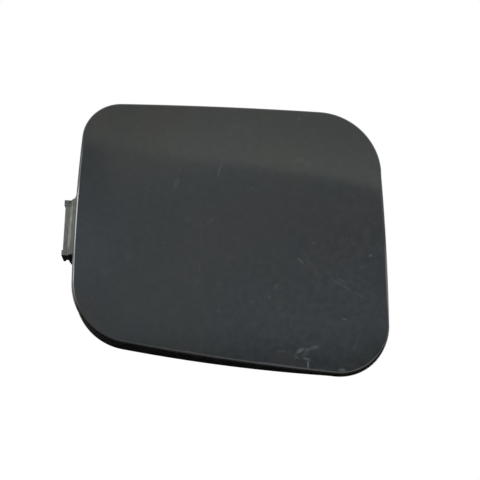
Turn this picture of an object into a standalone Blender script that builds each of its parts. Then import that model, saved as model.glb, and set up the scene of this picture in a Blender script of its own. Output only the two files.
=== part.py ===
"""Bumper tow hook cover: one moulded plastic piece that closes the towing eye's hole in a bumper.

A domed panel shows at the front. Behind it a skirt wall, set in from the panel's edge, ends in a flat
rim that seats in the bumper. A hook tab at the left grips behind the bumper's skin, and a springy
latch between two slits in the skirt snaps in at the right. Low ribs stiffen the back.

Metres. X is to the right seen from the front, +Z is up, and -Y is outward, towards who looks at it.
The origin is the middle of the piece's box.
"""

import math

import bmesh
import bpy
from mathutils import Matrix, Vector, geometry

MM = 0.001
NAME = "tow_hook_cover"

# Outline of the panel, seen from the front: where its sides would meet if the corners were sharp
TOP_LEFT_X = -40.8 * MM
TOP_LEFT_Z = 39.0 * MM
TOP_RIGHT_X = 43.9 * MM
TOP_RIGHT_Z = 39.4 * MM
LOW_RIGHT_X = 47.3 * MM
LOW_RIGHT_Z = -39.8 * MM
LOW_LEFT_X = -44.5 * MM
LOW_LEFT_Z = -29.7 * MM

# Radius of each corner, and how far each side bows outward at its middle
TOP_LEFT_RADIUS = 11.4 * MM
TOP_RIGHT_RADIUS = 18.0 * MM
LOW_RIGHT_RADIUS = 15.2 * MM
LOW_LEFT_RADIUS = 18.0 * MM
TOP_BOW = 0.02 * MM
RIGHT_BOW = 0.9 * MM
LOW_BOW = 2.2 * MM
LEFT_BOW = 1.15 * MM

# Panel: turned a little to the right, swept back round the bumper's corner, and crowned
FRONT_Y = -9.0 * MM
PANEL_TURN = math.radians(4.0)
SWEEP_RADIUS = 400.0 * MM
CROWN_RADIUS = 450.0 * MM
PANEL_THICKNESS = 2.8 * MM
FRONT_EDGE_RADIUS = 0.85 * MM
BACK_EDGE_RADIUS = 0.25 * MM

# Skirt: the wall behind the panel, with a flat rim
SKIRT_INSET = 1.5 * MM
SKIRT_WALL = 1.6 * MM
RIM_Y = 4.3 * MM

# Ribs on the back of the panel
RIB_WALL = 1.2 * MM
RIB_HEIGHT = 2.6 * MM
RIB_SPACING = 29.0 * MM
CROSS_RIB_Z = 0.0 * MM
RIB_TO_LATCH = 4.0 * MM

# Hook tab on the left side: a seat beside the panel's edge, a step back to a lip, and three gussets
TAB_Z = 2.0 * MM
TAB_LENGTH = 16.4 * MM
TAB_REACH = 2.75 * MM
TAB_SET_BACK = 0.3 * MM
TAB_ROOT_DEPTH = 0.7 * MM
TAB_STEP = 1.4 * MM
STEP_RUN = 0.45 * MM
LIP_WIDTH = 1.45 * MM
LIP_THICKNESS = 1.4 * MM
TAB_ROUND = 0.25 * MM
TAB_FILLET = 1.2 * MM
GUSSET_WALL = 1.5 * MM
GUSSET_PROUD = 0.4 * MM
GUSSET_RELIEF = 0.12 * MM
LOBE_LEAN = 0.95 * MM
LOBE_DEPTH = 6.4 * MM
LOBE_WIDTH = 0.6 * MM
NOTCH_DEPTH = 4.8 * MM
NOTCH_WIDTH = 0.5 * MM
GUSSET_FOOT = 0.05 * MM

# Snap latch on the right side: a finger cut free from the skirt, with a catch near its tip
LATCH_Z = -2.0 * MM
LATCH_WIDTH = 12.0 * MM
LATCH_SLIT = 1.4 * MM
LEDGE_THICKNESS = 2.5 * MM
LEDGE_CLEARANCE = 0.3 * MM
CATCH_REACH = 1.5 * MM
CATCH_LAND = 0.6 * MM
CATCH_LENGTH = 3.2 * MM
LATCH_ROOT_FLARE = 0.8 * MM

# How finely curves are divided
CORNER_STEPS = 14
SIDE_STEPS = 8
FILLET_STEPS = 3
GRID_STEP = 7.0 * MM
SNAP = 0.3 * MM


def clear_scene():
    """Empty the scene of whatever it starts with."""
    for thing in list(bpy.data.objects):
        bpy.data.objects.remove(thing, do_unlink=True)


def side_arc(start, end, bow):
    """Centre and radius of the shallow arc from start to end that bows outward by bow."""
    chord = end - start
    radius = (chord.length_squared / 4 + bow * bow) / (2 * bow)
    inward = Vector((chord.y, -chord.x)).normalized()
    return (start + end) / 2 + inward * (radius - bow), radius


def outline_sides():
    """The outline's sharp corners, clockwise from the top left, and the arc that leaves each one."""
    corners = [
        Vector((TOP_LEFT_X, TOP_LEFT_Z)),
        Vector((TOP_RIGHT_X, TOP_RIGHT_Z)),
        Vector((LOW_RIGHT_X, LOW_RIGHT_Z)),
        Vector((LOW_LEFT_X, LOW_LEFT_Z)),
    ]
    bows = [TOP_BOW, RIGHT_BOW, LOW_BOW, LEFT_BOW]
    ends = corners[1:] + corners[:1]
    return corners, [side_arc(a, b, bow) for a, b, bow in zip(corners, ends, bows)]


def corner_centre(corner, radius, before, after):
    """Centre of the round corner that touches the arcs before and after it from inside."""
    options = geometry.intersect_sphere_sphere_2d(
        before[0], before[1] - radius, after[0], after[1] - radius
    )
    return min(options, key=lambda point: (point - corner).length)


def clockwise_arc(centre, radius, start, end, steps):
    """Points on a circle, clockwise from the direction start to the direction end."""
    first = math.atan2(start.y, start.x)
    turn = (first - math.atan2(end.y, end.x)) % (2 * math.pi)
    angles = [first - turn * i / steps for i in range(steps + 1)]
    return [centre + radius * Vector((math.cos(a), math.sin(a))) for a in angles]


def outline(inset):
    """Closed outline of the panel, set in by inset, as (x, z) points clockwise from the top left."""
    corners, sides = outline_sides()
    radii = [TOP_LEFT_RADIUS, TOP_RIGHT_RADIUS, LOW_RIGHT_RADIUS, LOW_LEFT_RADIUS]
    centres = [corner_centre(corners[i], radii[i], sides[i - 1], sides[i]) for i in range(4)]
    points = []
    for i in range(4):
        centre = centres[i]
        following = centres[(i + 1) % 4]
        side_centre, side_radius = sides[i]
        leave = centre - side_centre
        points += clockwise_arc(
            centre, radii[i] - inset, centre - sides[i - 1][0], leave, CORNER_STEPS
        )
        points += clockwise_arc(
            side_centre, side_radius - inset, leave, following - side_centre, SIDE_STEPS
        )[1:-1]
    return points


def front_y(x, z):
    """Y of the panel's front surface."""
    swept = x * math.tan(PANEL_TURN) + x * x / (2 * SWEEP_RADIUS)
    return FRONT_Y + swept + z * z / (2 * CROWN_RADIUS)


def back_y(x, z):
    """Y of the panel's back surface."""
    return front_y(x, z) + PANEL_THICKNESS


def lay_on_dome(mesh):
    """Turn each vertex's depth behind a flat front into depth behind the domed front."""
    for vertex in mesh.verts:
        vertex.co.y += front_y(vertex.co.x, vertex.co.z)


def plate(points, front, back):
    """A flat plate of the given (x, z) outline between two values of y, and its front and back faces."""
    mesh = bmesh.new()
    face = mesh.faces.new([mesh.verts.new((p.x, front, p.y)) for p in points])
    grown = bmesh.ops.extrude_face_region(mesh, geom=[face], use_keep_orig=True)
    moved = [item for item in grown["geom"] if isinstance(item, bmesh.types.BMVert)]
    bmesh.ops.translate(mesh, verts=moved, vec=(0, back - front, 0))
    bmesh.ops.recalc_face_normals(mesh, faces=mesh.faces)
    return mesh


def rim_edges(mesh, y):
    """Edges of a flat plate that lie at y."""
    return [e for e in mesh.edges if all(abs(v.co.y - y) < SNAP / 10 for v in e.verts)]


def divide(mesh, axis, low, high):
    """Cut a mesh along planes square to an axis, so that it can follow the dome."""
    count = max(1, round((high - low) / GRID_STEP))
    for i in range(1, count):
        place = Vector((0, 0, 0))
        place[axis] = low + (high - low) * i / count
        normal = Vector((0, 0, 0))
        normal[axis] = 1
        everything = mesh.verts[:] + mesh.edges[:] + mesh.faces[:]
        bmesh.ops.bisect_plane(mesh, geom=everything, dist=SNAP, plane_co=place, plane_no=normal)


def add_object(name, mesh, collection):
    """Make a mesh object from a bmesh, and free the bmesh."""
    data = bpy.data.meshes.new(name)
    mesh.to_mesh(data)
    mesh.free()
    thing = bpy.data.objects.new(name, data)
    collection.objects.link(thing)
    return thing


def panel(collection):
    """The domed panel: a flat plate with rounded edges, cut into a grid and laid on the dome."""
    points = outline(0)
    mesh = plate(points, 0, PANEL_THICKNESS)
    front_rim = rim_edges(mesh, 0)
    back_rim = rim_edges(mesh, PANEL_THICKNESS)
    for edges, radius, segments in (
        (front_rim, FRONT_EDGE_RADIUS, 3),
        (back_rim, BACK_EDGE_RADIUS, 1),
    ):
        bmesh.ops.bevel(
            mesh, geom=edges, offset=radius, segments=segments, profile=0.5, affect="EDGES"
        )
    for axis, values in ((0, [p.x for p in points]), (2, [p.y for p in points])):
        divide(mesh, axis, min(values), max(values))
    lay_on_dome(mesh)
    return add_object(NAME, mesh, collection)


def skirt(collection):
    """The skirt wall, from the middle of the panel's thickness to the flat rim."""
    mesh = bmesh.new()
    points = outline(SKIRT_INSET)
    ring = [mesh.verts.new((p.x, front_y(p.x, p.y) + PANEL_THICKNESS / 2, p.y)) for p in points]
    edges = [mesh.edges.new((ring[i - 1], ring[i])) for i in range(len(ring))]
    grown = bmesh.ops.extrude_edge_only(mesh, edges=edges)
    for item in grown["geom"]:
        if isinstance(item, bmesh.types.BMVert):
            item.co.y = RIM_Y
    bmesh.ops.recalc_face_normals(mesh, faces=mesh.faces)
    if mesh.faces[:][0].normal.dot(mesh.faces[:][0].calc_center_median()) < 0:
        bmesh.ops.reverse_faces(mesh, faces=mesh.faces)
    wall = add_object("skirt", mesh, collection)
    thickness = wall.modifiers.new("Wall", "SOLIDIFY")
    thickness.thickness = SKIRT_WALL
    thickness.offset = -1
    thickness.use_even_offset = True
    return wall


def box(name, low, high, collection):
    """A box between two corners."""
    mesh = bmesh.new()
    bmesh.ops.create_cube(mesh, size=1)
    size = Vector(high) - Vector(low)
    middle = (Vector(high) + Vector(low)) / 2
    placed = Matrix.Translation(middle) @ Matrix.Diagonal((*size, 1))
    bmesh.ops.transform(mesh, matrix=placed, verts=mesh.verts)
    return add_object(name, mesh, collection)


def rib(name, low, high, axis, collection):
    """A straight rib that follows the dome, rooted in the middle of the panel's thickness."""
    thing = box(
        name,
        (low[0], PANEL_THICKNESS / 2, low[1]),
        (high[0], PANEL_THICKNESS + RIB_HEIGHT, high[1]),
        collection,
    )
    mesh = bmesh.new()
    mesh.from_mesh(thing.data)
    divide(mesh, axis, (low[0], 0, low[1])[axis], (high[0], 0, high[1])[axis])
    lay_on_dome(mesh)
    mesh.to_mesh(thing.data)
    mesh.free()
    return thing


def ribs(collection):
    """Two upright ribs, and one across that stops short of the latch, all trimmed in the skirt wall."""
    points = outline(SKIRT_INSET + SKIRT_WALL / 2)
    half = RIB_WALL / 2
    left = min(p.x for p in points)
    right = edge_frame(1, LATCH_Z).translation.x - SKIRT_INSET - SKIRT_WALL - RIB_TO_LATCH
    bottom = min(p.y for p in points)
    top = max(p.y for p in points)
    plug = add_object("rib_plug", plate(points, FRONT_Y, RIM_Y + RIB_HEIGHT), collection)
    made = [
        rib("left_rib", (-RIB_SPACING / 2 - half, bottom), (-RIB_SPACING / 2 + half, top), 2, collection),
        rib("right_rib", (RIB_SPACING / 2 - half, bottom), (RIB_SPACING / 2 + half, top), 2, collection),
        rib("cross_rib", (left, CROSS_RIB_Z - half), (right, CROSS_RIB_Z + half), 0, collection),
    ]
    for thing in made:
        combine(thing, plug, "INTERSECT")
    return made


def edge_frame(side, z):
    """Frame on the panel's edge at height z: X out of the edge, Y inward to the car, Z along the edge."""
    centre, radius = outline_sides()[1][side]
    across = math.sqrt(radius * radius - (z - centre.y) ** 2)
    x = centre.x + (across if centre.x < 0 else -across)
    out = Vector((x - centre.x, 0, z - centre.y)).normalized()
    inward = Vector((0, 1, 0))
    along = out.cross(inward)
    turned = Matrix((out, inward, along)).transposed().to_4x4()
    return Matrix.Translation((x, 0, z)) @ turned


def round_corners(corners):
    """Points of a closed profile given as (x, y, radius), each corner rounded by its radius."""
    points = []
    for i, (x, y, radius) in enumerate(corners):
        here = Vector((x, y))
        before = Vector(corners[i - 1][:2]) - here
        after = Vector(corners[(i + 1) % len(corners)][:2]) - here
        if radius == 0:
            points.append(here)
            continue
        half = before.angle(after) / 2
        bisector = (before.normalized() + after.normalized()).normalized()
        centre = here + bisector * radius / math.sin(half)
        start = here + before.normalized() * radius / math.tan(half) - centre
        end = here + after.normalized() * radius / math.tan(half) - centre
        turn = start.angle_signed(end)
        for step in range(FILLET_STEPS + 1):
            swung = start.copy()
            swung.rotate(Matrix.Rotation(-turn * step / FILLET_STEPS, 2))
            points.append(centre + swung)
    return points


def extruded(name, profile, low, high, frame, collection):
    """A profile of (outward, inward) points, extruded along the panel's edge from low to high."""
    mesh = bmesh.new()
    face = mesh.faces.new([mesh.verts.new((p.x, p.y, low)) for p in profile])
    grown = bmesh.ops.extrude_face_region(mesh, geom=[face], use_keep_orig=True)
    moved = [item for item in grown["geom"] if isinstance(item, bmesh.types.BMVert)]
    bmesh.ops.translate(mesh, verts=moved, vec=(0, 0, high - low))
    bmesh.ops.transform(mesh, matrix=frame, verts=mesh.verts)
    bmesh.ops.recalc_face_normals(mesh, faces=mesh.faces)
    return add_object(name, mesh, collection)


def hook_front(seat_y, root, reach):
    """Front of the hook tab's section, from its root in the panel: fillet, seat, step and lip."""
    root_y = seat_y - TAB_SET_BACK - TAB_ROOT_DEPTH
    step_out = TAB_REACH - LIP_WIDTH
    return [
        (root, root_y, 0),
        (-BACK_EDGE_RADIUS, root_y, 0),
        (TAB_SET_BACK, seat_y, TAB_SET_BACK / 2),
        (step_out - STEP_RUN, seat_y, TAB_ROUND),
        (step_out, seat_y + TAB_STEP, TAB_ROUND),
        (reach, seat_y + TAB_STEP, TAB_ROUND),
    ]


def hook_gusset(seat_y, root, proud, relief):
    """Section of a gusset behind the hook tab, which stands out past the web by proud and relief."""
    reach = TAB_REACH + proud
    lobe_out = reach - LOBE_LEAN
    lobe_in = lobe_out - LOBE_WIDTH
    notch_out = lobe_in - TAB_ROUND
    lip_y = seat_y + TAB_STEP
    foot_y = RIM_Y - GUSSET_RELIEF
    return hook_front(seat_y - relief, root, reach) + [
        (lobe_out, lip_y + LOBE_DEPTH, TAB_ROUND),
        (lobe_in, lip_y + LOBE_DEPTH, TAB_ROUND),
        (notch_out, lip_y + NOTCH_DEPTH, TAB_ROUND),
        (notch_out - NOTCH_WIDTH, lip_y + NOTCH_DEPTH, TAB_ROUND),
        (-GUSSET_FOOT, foot_y, 0),
        (root, foot_y, 0),
    ]


def hook_fillet(seat_y, root, web_back, frame, collection):
    """Fillet in the corner between the tab's upper end and the panel's edge."""
    top = -TAB_LENGTH / 2
    seat_out = TAB_REACH - LIP_WIDTH - STEP_RUN
    section = hook_front(seat_y, root, TAB_REACH)[:3] + [
        (seat_out, seat_y, 0),
        (seat_out, web_back, 0),
        (root, web_back, 0),
    ]
    fillet = extruded(
        "hook_fillet", round_corners(section), top - TAB_FILLET, top + GUSSET_WALL / 2, frame, collection
    )
    ring = []
    for i in range(4 * CORNER_STEPS):
        angle = 2 * math.pi * i / (4 * CORNER_STEPS)
        out = TAB_FILLET * (1 + math.cos(angle))
        along = top - TAB_FILLET * (1 - math.sin(angle))
        place = frame @ Vector((out, 0, along))
        ring.append(Vector((place.x, place.z)))
    combine(fillet, add_object("fillet_round", plate(ring, FRONT_Y, RIM_Y), collection), "DIFFERENCE")
    return fillet


def hook_tab(collection):
    """The hook tab: a web with a seat and a lip, a fillet above it, and three gussets behind it."""
    frame = edge_frame(3, TAB_Z)
    edge = frame.translation
    seat_y = back_y(edge.x, edge.z) + TAB_SET_BACK
    root = -SKIRT_INSET - SKIRT_WALL / 2
    web_back = seat_y + TAB_STEP + LIP_THICKNESS
    web = hook_front(seat_y, root, TAB_REACH) + [
        (TAB_REACH, web_back, TAB_ROUND),
        (root, web_back, 0),
    ]
    inner = TAB_LENGTH / 2 - GUSSET_WALL / 2
    made = [
        extruded("hook_web", round_corners(web), -inner, inner, frame, collection),
        hook_fillet(seat_y, root, web_back, frame, collection),
    ]
    for name, middle, proud, relief in (
        ("top_gusset", -inner, GUSSET_PROUD, GUSSET_RELIEF),
        ("middle_gusset", 0, -GUSSET_PROUD, -GUSSET_RELIEF),
        ("low_gusset", inner, GUSSET_PROUD, GUSSET_RELIEF),
    ):
        section = round_corners(hook_gusset(seat_y, root, proud, relief))
        low = middle - GUSSET_WALL / 2
        high = middle + GUSSET_WALL / 2
        made.append(extruded(name, section, low, high, frame, collection))
    return made


def snap_latch(collection):
    """The latch finger with its catch, rooted in the panel and level with the skirt wall."""
    frame = edge_frame(1, LATCH_Z)
    edge = frame.translation
    outer = -SKIRT_INSET
    inner = outer - SKIRT_WALL
    root_y = front_y(edge.x, edge.z) + PANEL_THICKNESS / 2
    flare_y = back_y(edge.x, edge.z) + LATCH_ROOT_FLARE
    catch_y = RIM_Y + LEDGE_THICKNESS + LEDGE_CLEARANCE
    tip_y = catch_y + CATCH_LENGTH
    lead = CATCH_REACH / 2
    profile = [
        (inner - LATCH_ROOT_FLARE, root_y, 0),
        (outer, root_y, 0),
        (outer, catch_y, 0),
        (outer + CATCH_REACH, catch_y, 0),
        (outer + CATCH_REACH, catch_y + CATCH_LAND, CATCH_LAND / 3),
        (outer - lead, tip_y, CATCH_LAND / 2),
        (inner, tip_y, CATCH_LAND / 2),
        (inner, flare_y, LATCH_ROOT_FLARE),
        (inner - LATCH_ROOT_FLARE, flare_y - LATCH_ROOT_FLARE, 0),
    ]
    half = LATCH_WIDTH / 2
    return extruded("snap_latch", round_corners(profile), -half, half, frame, collection)


def latch_gap(collection):
    """Cutter for the gap in the skirt that the latch stands in, with a slit left at each side."""
    frame = edge_frame(1, LATCH_Z)
    outer = SKIRT_INSET
    inner = -3 * (SKIRT_INSET + SKIRT_WALL)
    section = [
        Vector((outer, FRONT_Y)),
        Vector((outer, RIM_Y + SKIRT_WALL)),
        Vector((inner, RIM_Y + SKIRT_WALL)),
        Vector((inner, FRONT_Y)),
    ]
    half = LATCH_WIDTH / 2 + LATCH_SLIT
    return extruded("latch_gap", section, -half, half, frame, collection)


def combine(target, tool, operation):
    """Add a Boolean to target."""
    boolean = target.modifiers.new(tool.name, "BOOLEAN")
    boolean.operation = operation
    boolean.object = tool
    boolean.solver = "EXACT"
    tool.hide_render = True
    tool.display_type = "WIRE"


def paint():
    """Dark grey gloss paint."""
    material = bpy.data.materials.new("dark_grey_paint")
    material.use_nodes = True
    shader = material.node_tree.nodes["Principled BSDF"]
    shader.inputs["Base Color"].default_value = (0.042, 0.047, 0.049, 1)
    shader.inputs["Roughness"].default_value = 0.3
    shader.inputs["Metallic"].default_value = 0
    return material


def new_collection(name):
    """A collection in the scene."""
    collection = bpy.data.collections.new(name)
    bpy.context.scene.collection.children.link(collection)
    return collection


def build():
    """Make the moulding: the panel, with everything behind it joined on."""
    clear_scene()
    parts = new_collection(NAME)
    tools = new_collection("cutters_and_features")
    cover = panel(parts)
    wall = skirt(tools)
    combine(wall, latch_gap(tools), "DIFFERENCE")
    for feature in [wall] + ribs(tools) + hook_tab(tools) + [snap_latch(tools)]:
        combine(cover, feature, "UNION")
    cover.data.materials.append(paint())
    cover.data.shade_smooth()
    cover.data.set_sharp_from_angle(angle=math.radians(35))


build()
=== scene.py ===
"""Looks of a bumper's tow hook cover: one moulding of black plastic, painted grey on its face.

The face is a domed panel with a worn gloss. Behind it are the skirt wall that seats in the bumper,
stiffening ribs, a hook tab at the left and a snap latch at the right. Metres; X is to the right seen
from the front, Z is up, and -Y is outward.
"""

import math

import bpy
from mathutils import Matrix, Vector, geometry


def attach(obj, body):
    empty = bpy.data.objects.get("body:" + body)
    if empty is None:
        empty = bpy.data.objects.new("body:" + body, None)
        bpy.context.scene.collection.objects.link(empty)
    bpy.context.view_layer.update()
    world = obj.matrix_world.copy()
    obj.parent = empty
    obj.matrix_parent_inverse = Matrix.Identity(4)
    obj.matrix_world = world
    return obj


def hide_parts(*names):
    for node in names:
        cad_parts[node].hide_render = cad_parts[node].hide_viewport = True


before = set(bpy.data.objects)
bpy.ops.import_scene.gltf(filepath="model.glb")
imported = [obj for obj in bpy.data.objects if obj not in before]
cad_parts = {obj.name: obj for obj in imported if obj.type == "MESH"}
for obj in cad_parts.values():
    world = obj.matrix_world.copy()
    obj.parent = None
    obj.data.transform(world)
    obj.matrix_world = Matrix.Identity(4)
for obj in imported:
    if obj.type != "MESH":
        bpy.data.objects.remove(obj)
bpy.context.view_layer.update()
bpy.ops.object.select_all(action="DESELECT")


# Panel
# The front of the moulding: a painted 2.8 mm plate, turned a little to the right, swept back round
# the bumper's corner and crowned. Its front edge is well rounded, and its back edge is only broken.
MM = 0.001
NEAR = MM / 10
SHARP_CORNERS = (
    Vector((-40.8, 39.0)) * MM,
    Vector((43.9, 39.4)) * MM,
    Vector((47.3, -39.8)) * MM,
    Vector((-44.5, -29.7)) * MM,
)
CORNER_RADII = (11.4 * MM, 18.0 * MM, 15.2 * MM, 18.0 * MM)
SIDE_BOWS = (0.02 * MM, 0.9 * MM, 2.2 * MM, 1.15 * MM)
CORNER_STEPS = 30
SIDE_STEPS = 24
FACE_Y = -9.0 * MM
FACE_TURN = math.tan(math.radians(4.0))
SWEEP_RADIUS = 400 * MM
CROWN_RADIUS = 450 * MM
PANEL_THICKNESS = 2.8 * MM
FRONT_ROUND = 0.85 * MM
FRONT_ROUND_STEPS = 6
BACK_BREAK = 0.25 * MM
BACK_BREAK_STEPS = 2
GRID = 2.5 * MM
PAINT, BARE, TAB_FACE = range(3)


def side_arc(number):
    """Centre and radius of the shallow arc that leaves a sharp corner, clockwise from the top left."""
    start = SHARP_CORNERS[number]
    chord = SHARP_CORNERS[(number + 1) % 4] - start
    bow = SIDE_BOWS[number]
    radius = (chord.length_squared / 4 + bow * bow) / (2 * bow)
    inward = Vector((chord.y, -chord.x)).normalized()
    return start + chord / 2 + inward * (radius - bow), radius


def corner_centre(number):
    """Centre of the round corner that touches the arcs on both of its sides."""
    before, before_radius = side_arc(number - 1)
    after, after_radius = side_arc(number)
    size = CORNER_RADII[number]
    both = geometry.intersect_sphere_sphere_2d(before, before_radius - size, after, after_radius - size)
    return min(both, key=lambda point: (point - SHARP_CORNERS[number]).length)


def clockwise_arc(centre, radius, start, end, steps):
    """Points on a circle, clockwise from the direction start to the direction end."""
    first = math.atan2(start.y, start.x)
    turn = (first - math.atan2(end.y, end.x)) % (2 * math.pi)
    angles = [first - turn * step / steps for step in range(steps + 1)]
    return [centre + radius * Vector((math.cos(a), math.sin(a))) for a in angles]


def outline(inset):
    """The cover's outline seen from the front, set in by inset, as (x, z) points."""
    points = []
    for number in range(4):
        centre = corner_centre(number)
        side_centre, side_radius = side_arc(number)
        arrive = centre - side_arc(number - 1)[0]
        leave = centre - side_centre
        following = corner_centre((number + 1) % 4) - side_centre
        points += clockwise_arc(centre, CORNER_RADII[number] - inset, arrive, leave, CORNER_STEPS)
        points += clockwise_arc(side_centre, side_radius - inset, leave, following, SIDE_STEPS)[1:-1]
    return points


def face_y(x, z):
    """Y of the painted face."""
    return FACE_Y + x * FACE_TURN + x * x / (2 * SWEEP_RADIUS) + z * z / (2 * CROWN_RADIUS)


def follow_face(piece):
    """Turn each vertex's depth behind a flat face into depth behind the domed face."""
    for vertex in piece.data.vertices:
        vertex.co.y += face_y(vertex.co.x, vertex.co.z)


def solid(name, section, depth, finish):
    """A closed prism: a disc's rim is set to the section's points, and the disc is then extruded."""
    bpy.ops.mesh.primitive_circle_add(vertices=len(section), radius=GRID, fill_type="NGON")
    piece = bpy.context.object
    piece.name = name
    for vertex, point in zip(piece.data.vertices, section):
        vertex.co = point
    bpy.ops.object.mode_set(mode="EDIT")
    bpy.ops.mesh.select_all(action="SELECT")
    bpy.ops.mesh.extrude_region_move(TRANSFORM_OT_translate={"value": depth})
    bpy.ops.mesh.select_all(action="SELECT")
    bpy.ops.mesh.normals_make_consistent(inside=False)
    bpy.ops.object.mode_set(mode="OBJECT")
    give_finishes(piece, finish)
    return piece


def give_finishes(piece, finish):
    """Give a piece the moulding's three finishes, and put all its faces in one of them."""
    for material in (paint, bare_plastic, tab_plastic):
        piece.data.materials.append(material)
    for face in piece.data.polygons:
        face.material_index = finish


def select_edges(piece, wanted):
    """Select the edges whose two ends pass a test, and go to edit mode."""
    bpy.ops.object.mode_set(mode="EDIT")
    bpy.ops.mesh.select_mode(type="EDGE")
    bpy.ops.mesh.select_all(action="DESELECT")
    bpy.ops.object.mode_set(mode="OBJECT")
    places = [vertex.co for vertex in piece.data.vertices]
    for edge in piece.data.edges:
        edge.select = wanted(places[edge.vertices[0]], places[edge.vertices[1]])
    bpy.ops.object.mode_set(mode="EDIT")


def round_edges(piece, wanted, radius, segments):
    """Round the edges of a piece that pass a test."""
    select_edges(piece, wanted)
    bpy.ops.mesh.bevel(offset=radius, segments=segments, profile=0.5, affect="EDGES")
    bpy.ops.object.mode_set(mode="OBJECT")


def cut_in_bands(piece, axis, spacing):
    """Cut a piece across an axis at even steps, so that it can follow the dome."""
    places = [vertex.co[axis] for vertex in piece.data.vertices]
    low = min(places)
    high = max(places)
    count = max(1, round((high - low) / spacing))
    across = [0, 0, 0]
    across[axis] = 1
    bpy.ops.object.mode_set(mode="EDIT")
    for step in range(1, count):
        bpy.ops.mesh.select_all(action="SELECT")
        place = [0, 0, 0]
        place[axis] = low + (high - low) * step / count
        bpy.ops.mesh.bisect(plane_co=place, plane_no=across, threshold=NEAR)
    bpy.ops.object.mode_set(mode="OBJECT")


# Paint: dark grey with a clear gloss that has gone a little dull, finely mottled and scratched.
paint = bpy.data.materials.new("dark_grey_paint")
bare_plastic = bpy.data.materials.new("bare_black_plastic")
# The tab's plastic also carries painted light and shade, set up below
tab_plastic = bpy.data.materials.new("tab_plastic_rubbed_and_painted_light")

PAINT_COLOUR = (0.0185, 0.0212, 0.0215, 1)
PAINT_WARMER = (0.0215, 0.0222, 0.0205, 1)
SCRATCH_COLOUR = (0.36, 0.37, 0.38, 1)
WORN_COLOUR = (0.0268, 0.0228, 0.0226, 1)
PAINT_ROUGHNESS = 0.06
DULLED_ROUGHNESS = 0.09
SCRATCH_ROUGHNESS = 0.45
SCRATCH_GAIN = 0.105
PEEL_DEPTH = 0.002 * MM

# How fine each pattern on the paint is, in lumps to the metre, and the share of noise that it spans
CLOUD_GRAIN = 45
DUST_GRAIN = 480
PEEL_GRAIN = 700
DULL_GRAIN = 900
MARK_GRAIN = 2600
NOISE_SPAN = (0.3, 0.7)

# Dust lies unevenly on the face and the more so toward its lower right, by how far X is past Z
DUST_FROM_TO = (5 * MM, 50 * MM)
DUST_SHADES = (0.08, 0.2)

# Scratches and rubbed spots on the face: x, z, length and width in mm, lean in degrees, and strength
SCRATCHES = (
    (-2.3, 19.7, 6.2, 0.4, 73, 0.45),
    (-14.8, 14.8, 4.0, 0.9, 75, 0.34),
    (-36.7, 24.4, 2.3, 0.3, 0, 0.15),
    (-7.7, 2.8, 1.6, 0.3, 90, 0.24),
    (-8.1, -9.9, 3.1, 0.3, 86, 0.24),
    (21.1, -6.7, 2.5, 0.55, -39, 0.64),
    (23.5, -7.1, 2.2, 0.5, -33, 0.36),
    (23.3, -8.9, 1.9, 0.4, -26, 0.24),
    (24.9, -1.3, 1.5, 0.4, 3, 0.4),
    (13.9, -14.8, 2.0, 0.6, 49, 0.5),
    (33.3, -13.2, 8.8, 0.65, -27, 0.38),
    (39.0, -16.0, 7.0, 0.6, -24, 0.26),
    (33.0, -11.8, 4.2, 0.45, -30, 0.36),
    (33.8, -23.1, 1.5, 0.4, -17, 0.75),
    (36.8, -31.2, 2.3, 0.6, 73, 0.42),
    (15.6, -33.4, 2.8, 0.6, 5, 0.4),
    (2.4, 37.7, 1.5, 0.3, 3, 0.32),
    (-0.4, 37.5, 1.5, 0.3, -2, 0.24),
    (3.2, 33.3, 1.4, 0.3, -32, 0.24),
)

# Scuffs where the lower edge was knocked, and the worn patch beside them
SCUFFS = (
    (21.0, -33.0, 2.4, 0.85, 34, 0.88),
    (23.0, -32.6, 2.2, 0.85, 8, 0.55),
    (25.1, -31.9, 2.9, 0.8, 14, 0.62),
    (22.3, -34.0, 2.6, 0.7, 33, 0.32),
    (19.9, -34.8, 1.9, 0.5, -25, 0.5),
    (23.3, -36.9, 2.4, 0.45, -88, 1.3),
    (22.9, -35.3, 2.1, 0.65, -14, 0.6),
    (33.2, -37.9, 2.2, 0.6, 3, 0.7),
)
WORN_PATCH = (17.5, -36.2, 9.0, 2.2, -8, 0.8)

# Faint smudges of dried dirt, laid out as the scratches are
SMUDGES = (
    (2.6, 33.0, 3.2, 1.1, 10, 0.17),
    (6.0, 32.6, 1.6, 1.0, 0, 0.12),
    (-14.1, 18.8, 1.2, 0.8, 60, 0.2),
    (21.0, 23.8, 1.6, 1.3, 0, 0.22),
    (23.5, 22.6, 1.3, 1.0, 0, 0.2),
    (13.3, -28.4, 2.8, 1.1, 40, 0.17),
    (14.9, -20.9, 0.9, 0.7, 0, 0.22),
    (7.1, -19.5, 0.9, 0.7, 0, 0.22),
    (7.2, 14.3, 0.7, 0.6, 0, 0.22),
    (25.8, -10.2, 1.6, 0.6, -35, 0.22),
    (-2.6, -14.4, 0.9, 0.7, 0, 0.18),
    (-34.5, -11.5, 2.6, 1.4, 60, 0.14),
    (12.7, 32.0, 0.9, 0.7, 0, 0.2),
    (37.5, -29.5, 1.0, 0.8, 70, 0.22),
    (-7.6, -1.2, 5.3, 0.3, 90, 0.18),
    (-5.2, 3.6, 2.4, 1.0, 45, 0.16),
    (-11.4, 4.4, 2.0, 1.0, 20, 0.14),
    (-8.9, -14.5, 1.6, 0.8, 45, 0.18),
    (-28.4, -7.1, 3.0, 1.6, 70, 0.12),
    (0.6, 31.2, 1.4, 0.9, 0, 0.12),
)

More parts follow.
